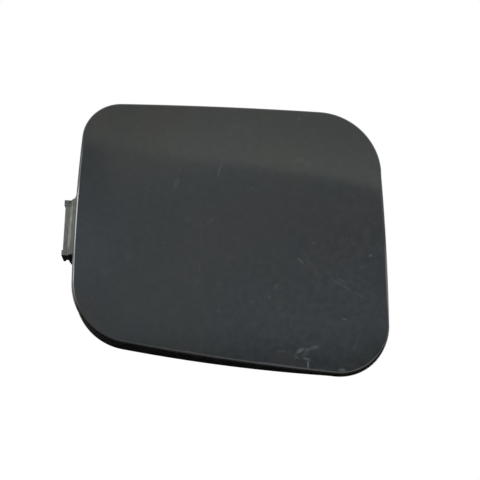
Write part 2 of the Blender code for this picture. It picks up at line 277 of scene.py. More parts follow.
# Small specks: x, z and strength, all of one size in mm
SPECK_SIZE = 0.45
SPECKS = (
    (-23.5, 13.0, 0.36), (-4.6, 4.4, 0.36), (-9.6, 2.3, 0.28), (-11.6, 4.9, 0.2),
    (-15.9, 1.4, 0.2), (21.1, 36.4, 0.62), (23.3, 37.8, 0.36), (31.4, 26.8, 0.55),
    (19.1, 20.6, 0.28), (10.3, 20.9, 0.28), (12.6, 15.1, 0.28), (11.0, 5.1, 0.24),
    (14.6, 2.7, 0.24), (43.4, 24.0, 0.24), (-18.2, -3.1, 0.4), (-30.2, -4.9, 0.28),
    (-33.2, -2.2, 0.2), (-39.4, -9.2, 0.4), (-35.8, -11.3, 0.28), (-29.0, -9.7, 0.36),
    (-30.7, -9.5, 0.2), (-8.9, -14.6, 0.32), (-2.5, -22.6, 0.36), (-38.5, -19.4, 0.28),
    (-40.2, -18.7, 0.24), (-7.3, -33.0, 0.32), (41.4, -4.0, 1.0), (41.8, -3.7, 0.9),
    (39.0, -7.7, 0.62), (9.1, -8.0, 0.36), (6.3, -11.3, 0.28), (12.1, -17.9, 0.66),
    (37.7, -22.4, 0.24), (43.7, -20.4, 0.32), (8.2, -29.8, 0.32), (22.5, -28.5, 0.28),
    (19.6, -35.2, 0.32), (21.6, -35.3, 0.4),
)

# A spot grows from nothing at its rim to its full strength at this share of the way in
SPOT_CORE = 0.7


def new_node(material, kind, inputs=(), **settings):
    """Add a shader node with its settings, and with its inputs as (name or number, value or socket)."""
    node = material.node_tree.nodes.new(kind)
    for setting, value in settings.items():
        setattr(node, setting, value)
    for name, value in inputs:
        if isinstance(value, bpy.types.NodeSocket):
            material.node_tree.links.new(value, node.inputs[name])
        else:
            node.inputs[name].default_value = value
    return node


def link(material, socket, node, name):
    """Feed a socket into a node's input."""
    material.node_tree.links.new(socket, node.inputs[name])


def object_place(material):
    """Object coordinates, which are metres on the moulding."""
    return new_node(material, "ShaderNodeTexCoord").outputs["Object"]


def grain(material, per_metre, detail, stretch=(1, 1, 1)):
    """Noise fixed to the piece, squeezed along the axes by stretch."""
    where = new_node(
        material,
        "ShaderNodeMapping",
        (("Vector", object_place(material)), ("Scale", stretch)),
    )
    noise = new_node(
        material,
        "ShaderNodeTexNoise",
        (("Vector", where.outputs[0]), ("Scale", per_metre), ("Detail", detail)),
    )
    return noise.outputs["Fac"]


def between(material, value, low, high, low_to=0.0, high_to=1.0):
    """A value taken smoothly from low..high to low_to..high_to, and held beyond them."""
    return new_node(
        material,
        "ShaderNodeMapRange",
        (("Value", value), ("From Min", low), ("From Max", high), ("To Min", low_to), ("To Max", high_to)),
        interpolation_type="SMOOTHSTEP",
    ).outputs[0]


def figure(material, operation, first, second):
    """The result of a Math node."""
    return new_node(material, "ShaderNodeMath", ((0, first), (1, second)), operation=operation).outputs[0]


def blended(material, amount, first, second):
    """A colour between two others."""
    return new_node(
        material, "ShaderNodeMixRGB", (("Fac", amount), ("Color1", first), ("Color2", second))
    ).outputs[0]


def ramp(material, value, colours):
    """Colours along a value, as (place, colour)."""
    node = new_node(material, "ShaderNodeValToRGB", ((0, value),))
    stops = node.color_ramp.elements
    for number, (place, colour) in enumerate(colours):
        stop = stops[number] if number < 2 else stops.new(place)
        stop.position = place
        stop.color = colour
    return node.outputs[0]


def dimmed(material, colour, amount):
    """A colour times a grey amount."""
    return new_node(
        material,
        "ShaderNodeMixRGB",
        (("Fac", 1.0), ("Color1", colour), ("Color2", amount)),
        blend_type="MULTIPLY",
    ).outputs[0]


def spot(material, place, x, z, length, width, lean, strength):
    """A long soft spot on the face: strength at its middle, and nothing outside it."""
    local = new_node(
        material,
        "ShaderNodeMapping",
        (
            ("Vector", place),
            ("Location", (x * MM, 0, z * MM)),
            ("Rotation", (0, -math.radians(lean), 0)),
            ("Scale", ((length / 2 + width) * MM, 1, width * MM)),
        ),
        vector_type="TEXTURE",
    )
    ball = new_node(
        material, "ShaderNodeTexGradient", (("Vector", local.outputs[0]),), gradient_type="SPHERICAL"
    )
    return between(material, ball.outputs["Fac"], 0, SPOT_CORE, 0, strength)


def spots(material, marks):
    """The strongest of many spots at each point."""
    place = object_place(material)
    strongest = spot(material, place, *marks[0])
    for mark in marks[1:]:
        strongest = figure(material, "MAXIMUM", strongest, spot(material, place, *mark))
    return strongest


paint.use_nodes = True
paint_shader = paint.node_tree.nodes["Principled BSDF"]
speck_marks = tuple((x, z, 0, SPECK_SIZE, 0, strength) for x, z, strength in SPECKS)
marked = spots(paint, SCRATCHES + SCUFFS + SMUDGES + speck_marks)
broken_up = between(paint, grain(paint, MARK_GRAIN, 2), 0.35, 0.6, 0.55, 1.1)
marked = figure(paint, "MULTIPLY", marked, broken_up)
cloudy = between(paint, grain(paint, CLOUD_GRAIN, 3), 0.35, 0.65)
paint_mixed = blended(paint, cloudy, PAINT_COLOUR, PAINT_WARMER)
paint_axes = new_node(paint, "ShaderNodeSeparateXYZ", ((0, object_place(paint)),))
low_and_right = figure(paint, "SUBTRACT", paint_axes.outputs["X"], paint_axes.outputs["Z"])
dustiness = between(paint, low_and_right, *DUST_FROM_TO, *DUST_SHADES)
dusty = between(paint, grain(paint, DUST_GRAIN, 4), *NOISE_SPAN, -1, 1)
dusty = figure(paint, "MULTIPLY", dusty, dustiness)
paint_mixed = dimmed(paint, paint_mixed, figure(paint, "ADD", dusty, 1))
worn = spot(paint, object_place(paint), *WORN_PATCH)
paint_mixed = blended(paint, worn, paint_mixed, WORN_COLOUR)
scratch_amount = figure(paint, "MULTIPLY", marked, SCRATCH_GAIN)
link(paint, blended(paint, scratch_amount, paint_mixed, SCRATCH_COLOUR), paint_shader, "Base Color")
dull = between(paint, grain(paint, DULL_GRAIN, 4), 0.3, 0.8, PAINT_ROUGHNESS, DULLED_ROUGHNESS)
rough_marks = figure(paint, "MULTIPLY", marked, SCRATCH_ROUGHNESS)
link(paint, figure(paint, "MAXIMUM", dull, rough_marks), paint_shader, "Roughness")
peel = new_node(
    paint,
    "ShaderNodeBump",
    (("Strength", 1.0), ("Distance", PEEL_DEPTH), ("Height", grain(paint, PEEL_GRAIN, 2))),
)
link(paint, peel.outputs[0], paint_shader, "Normal")

# Bare plastic: the black moulding as it left its tool, with a fine even grain, a little paler with
# dust on what faces backward.
MOULDED_BLACK = (0.003, 0.003, 0.0033, 1)
MOULDED_STREAK = (0.0055, 0.0055, 0.0057, 1)
DUST_DARK = (0.010, 0.010, 0.0105, 1)
DUST_PALE = (0.017, 0.0168, 0.0165, 1)
BARE_ROUGHNESS = 0.6
BARE_SPECULAR = 0.15
FLOW_GRAIN = 160
TOOL_GRAIN = 3500
TOOL_GRAIN_DEPTH = 0.01 * MM
bare_plastic.use_nodes = True
bare_shader = bare_plastic.node_tree.nodes["Principled BSDF"]
bare_shader.inputs["Roughness"].default_value = BARE_ROUGHNESS
bare_shader.inputs["Specular IOR Level"].default_value = BARE_SPECULAR
streaky = between(bare_plastic, grain(bare_plastic, FLOW_GRAIN, 4, (1, 0.3, 1)), *NOISE_SPAN)
moulded = blended(bare_plastic, streaky, MOULDED_BLACK, MOULDED_STREAK)
dust = blended(bare_plastic, streaky, DUST_DARK, DUST_PALE)
facing = new_node(bare_plastic, "ShaderNodeTexCoord").outputs["Normal"]
backward = new_node(bare_plastic, "ShaderNodeSeparateXYZ", ((0, facing),)).outputs["Y"]
dusted = between(bare_plastic, backward, 0.3, 0.8)
link(bare_plastic, blended(bare_plastic, dusted, moulded, dust), bare_shader, "Base Color")
tool_grain = new_node(
    bare_plastic,
    "ShaderNodeBump",
    (("Strength", 0.6), ("Distance", TOOL_GRAIN_DEPTH), ("Height", grain(bare_plastic, TOOL_GRAIN, 2))),
)
link(bare_plastic, tool_grain.outputs[0], bare_shader, "Normal")

flat_face = [(point.x, 0, point.y) for point in outline(0)]
panel = solid("cover_moulding", flat_face, (0, PANEL_THICKNESS, 0), BARE)
round_edges(panel, lambda a, b: max(abs(a.y), abs(b.y)) < NEAR, FRONT_ROUND, FRONT_ROUND_STEPS)
round_edges(panel, lambda a, b: min(a.y, b.y) > PANEL_THICKNESS - NEAR, BACK_BREAK, BACK_BREAK_STEPS)
for face in panel.data.polygons:
    if face.center.y < FRONT_ROUND:
        face.material_index = PAINT
cut_in_bands(panel, 0, GRID)
cut_in_bands(panel, 2, GRID)
follow_face(panel)

# Skirt wall
# The wall behind the panel that goes into the bumper's hole. It is moulded in one with the panel, set
# in from its edge, and ends in a flat rim that bears on the ledge round the hole.
SKIRT_INSET = 1.5 * MM
SKIRT_WALL = 1.6 * MM
RIM_Y = 4.3 * MM


def apply_all(piece):
    """Apply all the modifiers of a piece."""
    bpy.context.view_layer.objects.active = piece
    for modifier in list(piece.modifiers):
        bpy.ops.object.modifier_apply(modifier=modifier.name)


def combine(piece, tool, operation):
    """Join a closed solid to a piece, or cut the piece by it, and delete the solid."""
    boolean = piece.modifiers.new(operation, "BOOLEAN")
    boolean.operation = operation
    boolean.object = tool
    boolean.solver = "EXACT"
    boolean.material_mode = "INDEX"
    apply_all(piece)
    bpy.data.objects.remove(tool)


skirt_line = outline(SKIRT_INSET)
bpy.ops.mesh.primitive_circle_add(vertices=len(skirt_line), radius=GRID, fill_type="NOTHING")
skirt = bpy.context.object
skirt.name = "skirt_wall"
for vertex, point in zip(skirt.data.vertices, skirt_line):
    vertex.co = (point.x, face_y(point.x, point.y) + PANEL_THICKNESS / 2, point.y)
bpy.ops.object.mode_set(mode="EDIT")
bpy.ops.mesh.select_all(action="SELECT")
bpy.ops.mesh.extrude_edges_move(TRANSFORM_OT_translate={"value": (0, GRID, 0)})
bpy.ops.mesh.normals_make_consistent(inside=False)
bpy.ops.object.mode_set(mode="OBJECT")
for vertex in skirt.data.vertices[len(skirt_line):]:
    vertex.co.y = RIM_Y
if skirt.data.polygons[0].normal.dot(skirt.data.polygons[0].center) < 0:
    skirt.data.flip_normals()
wall = skirt.modifiers.new("wall", "SOLIDIFY")
wall.thickness = SKIRT_WALL
wall.offset = -1
wall.use_even_offset = True
apply_all(skirt)
give_finishes(skirt, BARE)

# The gap in the wall that the snap latch stands in
LATCH_Z = -2 * MM
LATCH_WIDTH = 12 * MM
LATCH_SLIT = 1.4 * MM


def edge_place(side, z):
    """Where a side's edge is at height z: X out of the edge, Y inward to the car, Z along the edge."""
    centre, radius = side_arc(side)
    across = math.sqrt(radius * radius - (z - centre.y) ** 2)
    x = centre.x + (across if centre.x < 0 else -across)
    out = Vector((x - centre.x, 0, z - centre.y)).normalized()
    inward = Vector((0, 1, 0))
    turned = Matrix((out, inward, out.cross(inward))).transposed().to_4x4()
    return Matrix.Translation((x, 0, z)) @ turned


gap_width = LATCH_WIDTH + 2 * LATCH_SLIT
gap_inner = -3 * (SKIRT_INSET + SKIRT_WALL)
gap_corners = (
    (SKIRT_INSET, FACE_Y, -gap_width / 2),
    (SKIRT_INSET, 2 * RIM_Y, -gap_width / 2),
    (gap_inner, 2 * RIM_Y, -gap_width / 2),
    (gap_inner, FACE_Y, -gap_width / 2),
)
gap = solid("latch_gap", gap_corners, (0, 0, gap_width), BARE)
gap.data.transform(edge_place(1, LATCH_Z))
combine(skirt, gap, "DIFFERENCE")
combine(panel, skirt, "UNION")

# Ribs
# Two upright ribs and one across, which stiffen the panel. They follow the dome, run into the skirt
# wall, and the one across stops short of the latch.
RIB_WALL = 1.2 * MM
RIB_HEIGHT = 2.6 * MM
RIB_SPACING = 29 * MM
RIB_TOP_ROUND = 0.25 * MM
RIB_ROUND_STEPS = 3
RIB_TO_LATCH = 4 * MM

wall_line = outline(SKIRT_INSET + SKIRT_WALL / 2)
wall_left = min(point.x for point in wall_line)
wall_low = min(point.y for point in wall_line)
wall_top = max(point.y for point in wall_line)
latch_side = edge_place(1, LATCH_Z).translation.x - SKIRT_INSET - SKIRT_WALL - RIB_TO_LATCH
rib_root = PANEL_THICKNESS / 2
rib_top = PANEL_THICKNESS + RIB_HEIGHT
half_wall = RIB_WALL / 2
half_way = RIB_SPACING / 2
for name, low_x, high_x, low_z, high_z, along in (
    ("left_rib", -half_way - half_wall, -half_way + half_wall, wall_low, wall_top, 2),
    ("right_rib", half_way - half_wall, half_way + half_wall, wall_low, wall_top, 2),
    ("cross_rib", wall_left, latch_side, -half_wall, half_wall, 0),
):
    bpy.ops.mesh.primitive_cube_add(
        size=1,
        location=((low_x + high_x) / 2, (rib_root + rib_top) / 2, (low_z + high_z) / 2),
        scale=(high_x - low_x, rib_top - rib_root, high_z - low_z),
    )
    rib = bpy.context.object
    rib.name = name
    bpy.ops.object.transform_apply(location=True, rotation=True, scale=True)
    give_finishes(rib, BARE)
    round_edges(
        rib,
        lambda a, b, way=along: min(a.y, b.y) > rib_top - NEAR and abs(a[way] - b[way]) > RIB_WALL,
        RIB_TOP_ROUND,
        RIB_ROUND_STEPS,
    )
    cut_in_bands(rib, along, GRID)
    follow_face(rib)
    inside = solid("inside", [(p.x, FACE_Y, p.y) for p in wall_line], (0, RIM_Y - FACE_Y, 0), BARE)
    combine(rib, inside, "INTERSECT")
    combine(panel, rib, "UNION")

# Hook tab
# The tab at the left that grips behind the bumper's skin: a seat beside the panel's edge, a step back
# to a lip, a fillet above, and a gusset at each end and one behind its middle.
TAB_Z = 2.0 * MM
TAB_LENGTH = 16.4 * MM
TAB_REACH = 2.75 * MM
TAB_SET_BACK = 0.3 * MM
TAB_ROOT_DEPTH = 0.7 * MM
TAB_STEP = 1.4 * MM
STEP_RUN = 0.45 * MM
LIP_WIDTH = 1.45 * MM
LIP_THICKNESS = 1.4 * MM
TAB_ROUND = 0.25 * MM
TAB_FILLET = 1.2 * MM
GUSSET_WALL = 1.5 * MM
GUSSET_PROUD = 0.4 * MM
GUSSET_RELIEF = 0.12 * MM
LOBE_LEAN = 0.95 * MM
LOBE_DEPTH = 6.4 * MM
LOBE_WIDTH = 0.6 * MM
NOTCH_DEPTH = 4.8 * MM
NOTCH_WIDTH = 0.5 * MM
GUSSET_FOOT = 0.05 * MM
ROUNDING_STEPS = 5
DRUM_SIDES = 96
QUARTER_TURN = math.radians(90)
RUBBED_FACES = -0.25


def rounded(corners):
    """Points of a closed profile given as (x, y, radius), each corner rounded by its radius."""
    points = []
    for number, (x, y, radius) in enumerate(corners):
        here = Vector((x, y))
        if radius == 0:
            points.append(here)
            continue
        before = Vector(corners[number - 1][:2]) - here
        after = Vector(corners[(number + 1) % len(corners)][:2]) - here
        half = before.angle(after) / 2
        middle = here + (before.normalized() + after.normalized()).normalized() * radius / math.sin(half)
        start = here + before.normalized() * radius / math.tan(half) - middle
        end = here + after.normalized() * radius / math.tan(half) - middle
        turn = start.angle_signed(end)
        for step in range(ROUNDING_STEPS + 1):
            swung = start.copy()
            swung.rotate(Matrix.Rotation(-turn * step / ROUNDING_STEPS, 2))
            points.append(middle + swung)
    return points


def along_edge(name, profile, low, high, place, finish):
    """A profile of (outward, inward) points, run along the panel's edge from low to high."""
    piece = solid(name, [(point.x, point.y, low) for point in rounded(profile)], (0, 0, high - low), finish)
    piece.data.transform(place)
    return piece


def tab_front(seat_y, root, reach):
    """Front of the tab's section, from its root in the panel: fillet, seat, step and lip."""
    root_y = seat_y - TAB_SET_BACK - TAB_ROOT_DEPTH
    step_out = TAB_REACH - LIP_WIDTH
    return [
        (root, root_y, 0),
        (-BACK_BREAK, root_y, 0),
        (TAB_SET_BACK, seat_y, TAB_SET_BACK / 2),
        (step_out - STEP_RUN, seat_y, TAB_ROUND),
        (step_out, seat_y + TAB_STEP, TAB_ROUND),
        (reach, seat_y + TAB_STEP, TAB_ROUND),
    ]


tab_place = edge_place(3, TAB_Z)
tab_edge = tab_place.translation
tab_seat = face_y(tab_edge.x, tab_edge.z) + PANEL_THICKNESS + TAB_SET_BACK
tab_root = -SKIRT_INSET - SKIRT_WALL / 2
tab_back = tab_seat + TAB_STEP + LIP_THICKNESS
tab_inner = TAB_LENGTH / 2 - GUSSET_WALL / 2
web_profile = tab_front(tab_seat, tab_root, TAB_REACH) + [
    (TAB_REACH, tab_back, TAB_ROUND),
    (tab_root, tab_back, 0),
]
tab_web = along_edge("tab_web", web_profile, -tab_inner, tab_inner, tab_place, TAB_FACE)

# The fillet is a length of the seat, with a drum cut from it
tab_top = -TAB_LENGTH / 2
seat_out = TAB_REACH - LIP_WIDTH - STEP_RUN
fillet_profile = tab_front(tab_seat, tab_root, TAB_REACH)[:3] + [
    (seat_out, tab_seat, 0),
    (seat_out, tab_back, 0),
    (tab_root, tab_back, 0),
]
fillet = along_edge(
    "tab_fillet", fillet_profile, tab_top - TAB_FILLET, tab_top + GUSSET_WALL / 2, tab_place, TAB_FACE
)
bpy.ops.mesh.primitive_cylinder_add(
    vertices=DRUM_SIDES,
    radius=TAB_FILLET,
    depth=4 * PANEL_THICKNESS,
    location=tab_place @ Vector((TAB_FILLET, tab_seat, tab_top - TAB_FILLET)),
    rotation=(QUARTER_TURN, 0, 0),
)
drum = bpy.context.object
bpy.ops.object.transform_apply(location=True, rotation=True, scale=True)
give_finishes(drum, TAB_FACE)
combine(fillet, drum, "DIFFERENCE")
combine(tab_web, fillet, "UNION")

# The gussets at the ends stand a little proud of the tab, and the middle one stays behind its front
for middle, proud, relief in (
    (-tab_inner, GUSSET_PROUD, GUSSET_RELIEF),
    (0, -GUSSET_PROUD, -GUSSET_RELIEF),
    (tab_inner, GUSSET_PROUD, GUSSET_RELIEF),
):
    reach = TAB_REACH + proud
    lobe_out = reach - LOBE_LEAN
    notch_out = lobe_out - LOBE_WIDTH - TAB_ROUND
    lip_y = tab_seat + TAB_STEP
    foot_y = RIM_Y - GUSSET_RELIEF
    gusset_profile = tab_front(tab_seat - relief, tab_root, reach) + [
        (lobe_out, lip_y + LOBE_DEPTH, TAB_ROUND),
        (lobe_out - LOBE_WIDTH, lip_y + LOBE_DEPTH, TAB_ROUND),
        (notch_out, lip_y + NOTCH_DEPTH, TAB_ROUND),
        (notch_out - NOTCH_WIDTH, lip_y + NOTCH_DEPTH, TAB_ROUND),
        (-GUSSET_FOOT, foot_y, 0),
        (tab_root, foot_y, 0),
    ]
    gusset = along_edge(
        "gusset", gusset_profile, middle - GUSSET_WALL / 2, middle + GUSSET_WALL / 2, tab_place, TAB_FACE
    )
    combine(tab_web, gusset, "UNION")

# Only what looks forward takes the rubbed grey with its painted light and shade, and the rest of the tab is
# bare
for face in tab_web.data.polygons:
    if face.normal.y > RUBBED_FACES:
        face.material_index = BARE
combine(panel, tab_web, "UNION")

# The tab's front is rubbed grey, with painted light and shade in tones by how far out they are. A painted
# highlight streak runs along its step and fades at both ends, painted shade darkens its lower end, and
# painted shadow mottles its top dark.
# Partly the tab's own rubbed grey and partly painted light and shade: lighter where its faces turn to the
# lamp, darker where they turn away
TAB_TONES_AND_PAINTED_LIGHT = (
    (0.00, (0.100, 0.118, 0.102, 1)),
    (0.20, (0.112, 0.127, 0.110, 1)),
    (0.30, (0.140, 0.150, 0.132, 1)),
    (0.36, (0.140, 0.150, 0.132, 1)),
    (0.47, (0.115, 0.120, 0.108, 1)),
    (0.60, (0.108, 0.110, 0.102, 1)),
    (1.00, (0.122, 0.122, 0.117, 1)),
)
TAB_ROUGHNESS = 0.6
TAB_SPECULAR = 0.25
# Painted highlight: the light streak along the step stands in for the lamp caught on a crest
HIGHLIGHT_STREAK_COLOUR = (0.30, 0.31, 0.28, 1)
STREAK_OUT = 1.10 * MM
STREAK_HALF = 0.42 * MM
STREAK_SLANT = 0.024
STREAK_TOP = (-7.2 * MM, -4 * MM)
STREAK_FOOT = (4.5 * MM, 7 * MM)
STREAK_GRAIN = 500
# Painted shade: the tab's colour is dimmed toward its lower end
FOOT_PAINTED_SHADE = 0.82
FOOT_PAINTED_SHADE_FROM_TO = (2 * MM, 6 * MM)
# Painted shadow: a dark mottle near the tab's top
TAB_TOP_SHADOW = (0.035, 0.037, 0.035, 1)
TOP_SHADOW_FROM_TO = (-7.8 * MM, -5.4 * MM)
TOP_SHADOW_OUT = (0.25, 0.5)
TOP_SHADOW_GRAIN = 900
RUBBED_GRAIN = 1200
RUBBED_SHADES = (0.86, 1.12)
tab_plastic.use_nodes = True
tab_shader = tab_plastic.node_tree.nodes["Principled BSDF"]
tab_shader.inputs["Roughness"].default_value = TAB_ROUGHNESS
tab_shader.inputs["Specular IOR Level"].default_value = TAB_SPECULAR
tab_local = new_node(
    tab_plastic,
    "ShaderNodeMapping",
    (
        ("Vector", object_place(tab_plastic)),
        ("Location", tab_place.translation),
        ("Rotation", tab_place.to_euler()),
    ),
    vector_type="TEXTURE",
)
tab_axes = new_node(tab_plastic, "ShaderNodeSeparateXYZ", ((0, tab_local.outputs[0]),))
tab_out = tab_axes.outputs["X"]
tab_along = tab_axes.outputs["Z"]
tab_share = figure(tab_plastic, "DIVIDE", tab_out, TAB_REACH)
tab_colour_and_painted_light = ramp(tab_plastic, tab_share, TAB_TONES_AND_PAINTED_LIGHT)
# Painted shade toward the tab's lower end
foot_painted_shade = between(tab_plastic, tab_along, *FOOT_PAINTED_SHADE_FROM_TO, 1, FOOT_PAINTED_SHADE)
tab_colour_and_painted_light = dimmed(tab_plastic, tab_colour_and_painted_light, foot_painted_shade)
# The painted highlight streak, slanted along the step, faded at both ends and broken up
slant = figure(tab_plastic, "MULTIPLY", tab_along, STREAK_SLANT)
past_streak = figure(tab_plastic, "SUBTRACT", figure(tab_plastic, "SUBTRACT", tab_out, slant), STREAK_OUT)
from_streak = figure(tab_plastic, "ABSOLUTE", past_streak, 0)
highlight_streak = between(tab_plastic, from_streak, 0, STREAK_HALF, 1, 0)
for fade in (
    between(tab_plastic, tab_along, *STREAK_TOP),
    between(tab_plastic, tab_along, *STREAK_FOOT, 1, 0),
    between(tab_plastic, grain(tab_plastic, STREAK_GRAIN, 3), 0.3, 0.6, 0.5, 1),
):
    highlight_streak = figure(tab_plastic, "MULTIPLY", highlight_streak, fade)
tab_colour_and_painted_light = blended(tab_plastic, highlight_streak, tab_colour_and_painted_light, HIGHLIGHT_STREAK_COLOUR)
# Painted shadow, mottled, near the tab's top and away from its root
top_shadow = between(tab_plastic, tab_along, *TOP_SHADOW_FROM_TO, 1, 0)
top_shadow = figure(tab_plastic, "MULTIPLY", top_shadow, between(tab_plastic, tab_share, *TOP_SHADOW_OUT))
mottle = between(tab_plastic, grain(tab_plastic, TOP_SHADOW_GRAIN, 3), 0.42, 0.6)
tab_colour_and_painted_light = blended(tab_plastic, figure(tab_plastic, "MULTIPLY", top_shadow, mottle), tab_colour_and_painted_light, TAB_TOP_SHADOW)
rubbed = grain(tab_plastic, RUBBED_GRAIN, 3, (1, 1, 0.35))
rubbed = between(tab_plastic, rubbed, *NOISE_SPAN, *RUBBED_SHADES)
link(tab_plastic, dimmed(tab_plastic, tab_colour_and_painted_light, rubbed), tab_shader, "Base Color")

# Snap latch
# The springy finger at the right, moulded between two slits in the skirt wall. The catch near its tip
# snaps behind the bumper's ledge.
LEDGE_THICKNESS = 2.5 * MM
LEDGE_CLEARANCE = 0.3 * MM
CATCH_REACH = 1.5 * MM
CATCH_LAND = 0.6 * MM
CATCH_LENGTH = 3.2 * MM
LATCH_ROOT_FLARE = 0.8 * MM

latch_place = edge_place(1, LATCH_Z)
latch_edge = latch_place.translation
latch_out = -SKIRT_INSET
latch_in = latch_out - SKIRT_WALL
latch_root_y = face_y(latch_edge.x, latch_edge.z) + PANEL_THICKNESS / 2
flare_y = face_y(latch_edge.x, latch_edge.z) + PANEL_THICKNESS + LATCH_ROOT_FLARE
catch_y = RIM_Y + LEDGE_THICKNESS + LEDGE_CLEARANCE
latch_profile = [
    (latch_in - LATCH_ROOT_FLARE, latch_root_y, 0),
    (latch_out, latch_root_y, 0),
    (latch_out, catch_y, 0),
    (latch_out + CATCH_REACH, catch_y, 0),
    (latch_out + CATCH_REACH, catch_y + CATCH_LAND, CATCH_LAND / 3),
    (latch_out - CATCH_REACH / 2, catch_y + CATCH_LENGTH, CATCH_LAND / 2),
    (latch_in, catch_y + CATCH_LENGTH, CATCH_LAND / 2),
    (latch_in, flare_y, LATCH_ROOT_FLARE),
    (latch_in - LATCH_ROOT_FLARE, flare_y - LATCH_ROOT_FLARE, 0),
]
latch = along_edge("snap_latch", latch_profile, -LATCH_WIDTH / 2, LATCH_WIDTH / 2, latch_place, BARE)
combine(panel, latch, "UNION")

# One moulding
# All of the above is one piece of plastic, so it is merged and shaded as one, and takes the place of
# the cover's only CAD node.
SAME_PLACE = MM / 1000
SMOOTH_ANGLE = math.radians(35)

bpy.ops.object.select_all(action="DESELECT")
bpy.context.view_layer.objects.active = panel
panel.select_set(True)
bpy.ops.object.mode_set(mode="EDIT")
bpy.ops.mesh.select_all(action="SELECT")
bpy.ops.mesh.remove_doubles(threshold=SAME_PLACE)
bpy.ops.mesh.normals_make_consistent(inside=False)
bpy.ops.object.mode_set(mode="OBJECT")
bpy.ops.object.shade_smooth_by_angle(angle=SMOOTH_ANGLE)
weighted = panel.modifiers.new("even_shading", "WEIGHTED_NORMAL")
weighted.keep_sharp = True
apply_all(panel)
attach(panel, "root")
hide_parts("tow_hook_cover")

# Studio
# A pale floor well below, a white surround and a soft lamp above at the left. Round the cover stand
# cards that only its gloss mirrors: a lit wall in front, a dark sheet below, a dark card behind, a glow
# low in front and a band of light at each side. The camera is the photo's.
CAMERA_AZIMUTH = math.radians(-4.6)
CAMERA_ELEVATION = math.radians(-16.0)
CAMERA_DISTANCE = 1.0
CAMERA_LENS = 262
SENSOR_WIDTH = 36
VIEW_CENTRE = Vector((3.523, -8.994, -1.506)) * MM
FLOOR_Z = -0.36
FLOOR_SIZE = 6
FLOOR_COLOUR = (0.82, 0.82, 0.82, 1)
FLOOR_ROUGHNESS = 0.8
WHITE = (1, 1, 1, 1)


def aim(thing, target):
    """Turn a camera or lamp to look at a point."""
    thing.rotation_euler = (target - thing.location).to_track_quat("-Z", "Y").to_euler()


def only_mirrored(thing):
    """Let a card show in gloss alone."""
    thing.visible_camera = False
    thing.visible_diffuse = False
    thing.visible_transmission = False
    thing.visible_volume_scatter = False
    thing.visible_shadow = False


bpy.ops.object.camera_add()
camera = bpy.context.object
camera.name = "photo_camera"
camera.data.lens = CAMERA_LENS
camera.data.sensor_width = SENSOR_WIDTH
toward_camera = Vector(
    (
        math.sin(CAMERA_AZIMUTH) * math.cos(CAMERA_ELEVATION),
        -math.cos(CAMERA_AZIMUTH) * math.cos(CAMERA_ELEVATION),
        math.sin(CAMERA_ELEVATION),
    )
)
camera.location = VIEW_CENTRE + toward_camera * CAMERA_DISTANCE
aim(camera, VIEW_CENTRE)
bpy.context.scene.camera = camera

bpy.ops.mesh.primitive_plane_add(size=FLOOR_SIZE, location=(0, 0, FLOOR_Z))
floor = bpy.context.object
floor.name = "floor"
floor_paint = bpy.data.materials.new("pale_floor")
floor_paint.use_nodes = True
floor_shader = floor_paint.node_tree.nodes["Principled BSDF"]
floor_shader.inputs["Base Color"].default_value = FLOOR_COLOUR
floor_shader.inputs["Roughness"].default_value = FLOOR_ROUGHNESS
floor.data.materials.append(floor_paint)

# The wall in front is lighter above a soft edge, as a window over a sill is. The edge falls to the
# right, the lower part dims to the right and the upper part dims to the left.
WALL_Y = -0.6
WALL_SIZE = (1.6, 1.2)
WALL_EDGE_SLOPE = 0.17
WALL_EDGE_ENDS = 0.07
WALL_EDGE = (0.280, 0.293)
WALL_BELOW = (
    (0.010, (0.24, 0.29, 0.34, 1)),
    (0.033, (0.44, 0.51, 0.58, 1)),
    (0.055, (0.60, 0.68, 0.75, 1)),
    (0.08, (0.62, 0.70, 0.76, 1)),
    (0.20, (0.61, 0.67, 0.72, 1)),
    (0.235, (0.66, 0.71, 0.75, 1)),
    (0.275, (0.76, 0.80, 0.80, 1)),
)
WALL_LEFT = (
    (0.07, (0.50, 0.55, 0.64, 1)),
    (0.15, (0.70, 0.80, 0.93, 1)),
    (0.21, (0.50, 0.60, 0.71, 1)),
    (0.26, (0.39, 0.48, 0.55, 1)),
)
WALL_RIGHT = (
    (0.010, (0.13, 0.20, 0.27, 1)),
    (0.028, (0.28, 0.36, 0.45, 1)),
    (0.036, (0.41, 0.48, 0.57, 1)),
    (0.045, (0.52, 0.60, 0.70, 1)),
    (0.07, (0.61, 0.72, 0.84, 1)),
    (0.12, (0.58, 0.66, 0.76, 1)),
    (0.20, (0.50, 0.56, 0.65, 1)),
    (0.275, (0.56, 0.62, 0.69, 1)),
)
WALL_ABOVE = (
    (0.285, (1.20, 1.26, 1.20, 1)),
    (0.36, (0.85, 0.88, 0.83, 1)),
)

# Where the wall's tones run into each other, in X and in Z, and how far its dim parts are dimmed
LEFT_FROM_TO = (-0.055, 0.0)
RIGHT_FROM_TO = (0.06, 0.30)
CORNER_OUT = (0.27, 0.36)
CORNER_UP = (0.03, 0.10)
CORNER_DIM = 0.55
ABOVE_FROM_TO = (-0.03, 0.11)
ABOVE_DIM = 0.74


def glow(name):
    """An empty material for a light, and the node that tells the X and Z of each place on it."""
    material = bpy.data.materials.new(name)
    material.use_nodes = True
    material.node_tree.nodes.clear()
    return material, new_node(material, "ShaderNodeSeparateXYZ", ((0, object_place(material)),))


def light_up(material, colour, strength):
    """Make a material give off light."""
    light = new_node(material, "ShaderNodeEmission", (("Color", colour), ("Strength", strength)))
    new_node(material, "ShaderNodeOutputMaterial", (("Surface", light.outputs[0]),))


def card(name, location, size, turn, material):
    """A card beside the cover, turned up from lying flat, which shows in gloss alone."""
    bpy.ops.mesh.primitive_plane_add(size=1, location=location, rotation=(turn, 0, 0))
    sheet = bpy.context.object
    sheet.name = name
    sheet.scale = (size[0], size[1], 1)
    bpy.ops.object.transform_apply(location=True, rotation=True, scale=True)
    sheet.data.materials.append(material)
    only_mirrored(sheet)
    return sheet


